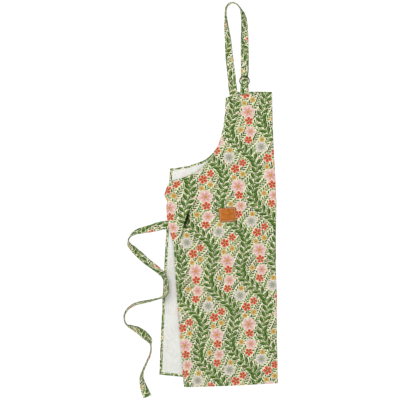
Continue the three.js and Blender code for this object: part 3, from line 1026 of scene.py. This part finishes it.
def leather_material():
    material, tree, shader = new_material("label_leather", Specular_IOR_Level=0.22)
    x, y = flat_place(tree)
    cloudy = blur_step(noise(x, y, 14, 4), 0.3, 0.7)
    edge = calculate("MINIMUM", LABEL["width"] / 2 - abs(x), LABEL["height"] / 2 - abs(y))
    colour = paint(cloudy, srgb(142, 74, 9), srgb(173, 100, 20))
    colour = paint(blur_step(edge, 1.6, 0.2), colour, srgb(122, 60, 20))
    feed(tree, shader.inputs["Base Color"], colour)
    feed(tree, shader.inputs["Roughness"], noise(x, y, 2) * 0.2 + 0.4)
    grain = Field(tree, cells(x, y, 0.9)["Distance"]) + noise(x, y, 3, 3)
    add_bump(tree, shader, grain, 0.2, 0.5)
    return material


def metal_material():
    material, tree, shader = new_material("ring_metal", Metallic=1)
    x, y = flat_place(tree)
    patina = noise(x, y, 5, 4)
    feed(tree, shader.inputs["Base Color"], paint(patina, srgb(46, 41, 33), srgb(92, 84, 70)))
    feed(tree, shader.inputs["Roughness"], patina * 0.25 + 0.22)
    add_bump(tree, shader, noise(x, y * 0.1, 0.6), 0.05, 0.3)
    return material


def thread_material():
    material, tree, shader = new_material("sewing_thread", Roughness=0.7, Sheen_Weight=0.2)
    x, y, _ = split(tree, new_node(tree, "TexCoord", {})["Object"])
    colour = paint(noise(x, y, 0.7 * MM), srgb(214, 208, 182), srgb(238, 234, 214))
    feed(tree, shader.inputs["Base Color"], colour)
    return material


PRINT = cotton_material("printed_cotton", print_colour)
WRONG = cotton_material("cotton_wrong_side", wrong_side_colour)
# Strap edges: rubbed wear together with painted shade.
WORN_AND_SHADED = cotton_material("cotton_worn_shaded_edge", worn_and_shaded_edge_colour)
LEATHER_BROWN = leather_material()
METAL = metal_material()
THREAD = thread_material()


def dress(piece, node=None):
    """The piece rides on the apron and, given a node, stands for that solid, whose part is hidden."""
    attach(piece, "root")
    if node:
        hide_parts(node)
    return piece


# Edges of the panel in their order round it, anticlockwise from the front's bottom corner.
PANEL_EDGES = ["bottom", "right_side", "right_armhole", "top", "left_armhole", "left_side"]


def make_panel():
    half, v = panel_side().T
    grid = row_places(v, half, PANEL_COLUMNS, panel_bow)
    panel = cloth_wall("panel_cloth", *grid, 0, CLOTH, [PRINT, WRONG])
    dress(panel, "panel")
    count, columns = grid[0].shape
    border = border_of(count, columns)
    border = np.stack(grid, axis=-1).reshape(-1, 2)[[*border, border[0]]]
    across, side = columns - 1, int(np.argmax(v >= UNDERARM))
    armhole = count - 1 - side
    ends = np.cumsum([0, across, side, armhole, across, armhole, side])
    hems, rows = [], []
    for k, name in enumerate(PANEL_EDGES):
        edge = border[ends[k]:ends[k + 1] + 1]
        path = evenly(edge, HEM_PITCH)
        thick = HEM["thick"] - HEM["step"] * (k % 2)
        wide, seam = HEM["armhole" if "armhole" in name else "straight"]
        hems.append(hem_piece(f"hem_{name}", path, wide, thick, (k, HEM["cut"] * k)))
        line = inset(evenly(edge, SEAM_PITCH), seam)[SEAM_SHORT:-SEAM_SHORT]
        rows.append(flat_stitches(line, CLOTH + STITCH["proud"], 1))
        rows.append(flat_stitches(line, -thick - STITCH["proud"], -1))
    stitches = stitch_piece("hem_stitches", rows)


def make_pocket():
    low, high, half, seam = (POCKET[k] for k in ("low", "high", "half", "seam"))
    rows = np.linspace(low, high, POCKET_ROWS)
    u, v = row_places(rows, np.full(POCKET_ROWS, float(half)), POCKET_COLUMNS, level_rows)
    h = CLOTH + GAP
    pocket = cloth_wall("pocket_cloth", u, v, h, h + CLOTH, [PRINT, WRONG])
    dress(pocket, "pocket")
    corners = [(-half, high), (-half, low), (half, low), (half, high)]
    inner = [(u0 - math.copysign(seam, u0), v0 + seam * (v0 == low)) for u0, v0 in corners]
    lines = [inner[k:k + 2] for k in range(3)]
    top = high - POCKET["top_hem"]
    lines.append([(-half + seam, top), (half - seam, top)])
    face = h + CLOTH + STITCH["proud"]
    sewn = [flat_stitches(evenly(np.array(line), SEAM_PITCH), face, 1) for line in lines]
    stitches = stitch_piece("pocket_stitches", sewn)


def make_strap(node, stations, cut):
    name = f"{node}_cloth"
    strap = dress(strap_piece(name, stations, cut), node)
    stitches = stitch_piece(f"{name}_stitches", strap_stitches(stations))


def make_straps():
    make_strap("neck_strap", route_stations(NECK_ROUTE), (0, 40))
    make_strap("strap_foot", route_stations(FOOT_ROUTE), (0.12, 185))
    make_strap("ring_tab", ring_tab_stations(), (1, 330))
    make_strap("tie_front", route_stations(TIE_FRONT_ROUTE), (2, 0))
    make_strap("tie_back", route_stations(TIE_BACK_ROUTE), (3, 60))


RING_STEPS = {"around": 96, "wire": 20}
RING_JOINT = {"notch": 0.1, "wide": 0.05}


def make_ring():
    """A bent wire ring with a closed butt joint on its right."""
    around, wire = RING_STEPS["around"], RING_STEPS["wire"]
    turns = np.linspace(0, 2 * math.pi, around, endpoint=False)
    sides = np.linspace(0, 2 * math.pi, wire, endpoint=False)
    from_joint = np.minimum(turns, 2 * math.pi - turns)
    thin = RING["wire"] * (1 - RING_JOINT["notch"] * bell(from_joint, RING_JOINT["wide"]))
    out = RING["radius"] + thin[:, None] * np.cos(sides)
    z = RING_Z + thin[:, None] * np.sin(sides)
    x = RING["x"] + out * np.cos(turns)[:, None]
    y = RING["y"] + out * np.sin(turns)[:, None]
    index = np.arange(around * wire).reshape(around, wire)
    ahead = np.roll(index, -1, axis=0)
    faces = np.stack([index, ahead, np.roll(ahead, -1, axis=1), np.roll(index, -1, axis=1)], axis=-1)
    uv = [
        (wire_at * 0.5, round_at)
        for k in range(around)
        for i in range(wire)
        for wire_at, round_at in ((i, k), (i, k + 1), (i + 1, k + 1), (i + 1, k))
    ]
    points = np.stack([x, y, z], axis=-1).reshape(-1, 3)
    ring = make_piece("ring_wire", points, faces.reshape(-1, 4), [METAL], uv)
    dress(ring, "ring")


def round_rectangle(margin):
    """Places round the label's outline, moved in by a margin."""
    corner = max(LABEL["corner"] - margin, 0.6)
    half = np.array([LABEL["width"], LABEL["height"]]) / 2 - margin - corner
    places = []
    for k, (sx, sy) in enumerate(((1, 1), (-1, 1), (-1, -1), (1, -1))):
        for angle in np.radians(90 * k + np.linspace(0, 90, 9)):
            places.append(half * (sx, sy) + corner * np.array([math.cos(angle), math.sin(angle)]))
    return np.array(places)


# Section of the label from its underside up over its edge to its middle: margin and height.
LABEL_SECTION = [(0.5, 0), (0.1, 0.25), (0, 0.6), (0, 1.3), (0.25, 1.62), (0.8, 1.74), (2.4, 1.78)]
LABEL_SECTION += [(2.9, 1.62), (3.3, 1.62), (3.8, 1.78), (8, 1.8)]
LABEL_SEAM = {"margin": 3.1, "pitch": 3, "high": 1.68}


def make_label():
    loops = [round_rectangle(margin) for margin, _ in LABEL_SECTION]
    around = len(loops[0])
    flat = np.concatenate(loops)
    faces = strip_faces(len(loops), around)
    c, s = cos_sin(FOLD["lean"] + FOLD["slant"])
    spin = np.array([[c, s], [-s, c]])
    middle = folded(LABEL["u"], LABEL["v"], 2 * (CLOTH + GAP))
    heights = np.repeat([z for _, z in LABEL_SECTION], around)
    points = np.column_stack([flat @ spin, heights]) + middle
    corners = [corner for face in faces for corner in face]
    label = make_piece("label_patch", points, faces, [LEATHER_BROWN], flat[corners])
    dress(label, "label")
    line = round_rectangle(LABEL_SEAM["margin"])
    seam = evenly(np.concatenate([line, line[:1]]), LABEL_SEAM["pitch"])
    places = np.column_stack([seam @ spin, np.full(len(seam), LABEL_SEAM["high"])]) + middle
    up = np.tile((0.0, 0, 1), (len(seam), 1))
    stitch_piece("label_stitches", [(places, up)])


# A white studio floor, lit from below so that it takes no shadows. It throws no light on the cloth:
# what the cloth gets from below is the dim part of the sky. In metres.
FLOOR = {"albedo": (0.12, 0.12, 0.12, 1), "glow": 0.96, "reach": 60, "drop": 0.0004}
SKY = {"above": 1.08, "below": 0.3, "fades": (-0.3, -0.05)}
SOFTBOX = {"size": 2.2, "energy": 42, "place": (-1.2, 1.4, 2.6), "tilt": (-28, -22, 0)}


def make_stage():
    mesh = bpy.data.meshes.new("floor")
    corners = np.array([(-1, -1, 0), (1, -1, 0), (1, 1, 0), (-1, 1, 0)]) * FLOOR["reach"]
    mesh.from_pydata((corners - (0, 0, FLOOR["drop"])).tolist(), [], [(0, 1, 2, 3)])
    material, _, _ = new_material("floor_white", Base_Color=FLOOR["albedo"], Roughness=0.9,
                                  Emission_Color=(1, 1, 1, 1), Emission_Strength=FLOOR["glow"])
    mesh.materials.append(material)
    floor = add_object("floor", mesh)
    floor.visible_diffuse = False


def make_light():
    scene = bpy.context.scene
    world = bpy.data.worlds.new("studio")
    world.use_nodes = True
    tree = world.node_tree
    background = tree.nodes["Background"]
    background.inputs["Color"].default_value = (1, 1, 1, 1)
    _, _, up = split(tree, new_node(tree, "TexCoord", {})["Generated"])
    strength = paint_number(blur_step(up, *SKY["fades"]), SKY["below"], SKY["above"])
    feed(tree, background.inputs["Strength"], strength)
    scene.world = world
    light = bpy.data.lights.new("softbox", "AREA")
    light.shape = "DISK"
    light.size = SOFTBOX["size"]
    light.energy = SOFTBOX["energy"]
    softbox = add_object("softbox", light)
    softbox.location = SOFTBOX["place"]
    softbox.rotation_euler = [math.radians(angle) for angle in SOFTBOX["tilt"]]
    scene.view_settings.view_transform = "Standard"


# The camera: millimetres to a pixel, pixels across the picture, lens, and place in the source's frame.
PIXEL = 3.1
FRAME_PIXELS = 400
LENS = 150
EYE = (-2.3, 0.8)


def make_camera():
    """Straight above the apron, as the photograph was taken."""
    camera = bpy.data.cameras.new("camera")
    camera.lens = LENS
    above = PIXEL * MM * FRAME_PIXELS * LENS / camera.sensor_width
    eye = add_object("camera", camera)
    eye.location = ((SHIFT[0] + EYE[0]) * MM, (SHIFT[1] + EYE[1]) * MM, above)
    bpy.context.scene.camera = eye


make_camera()
make_panel()
make_pocket()
make_straps()
make_ring()
make_label()
make_stage()
make_light()
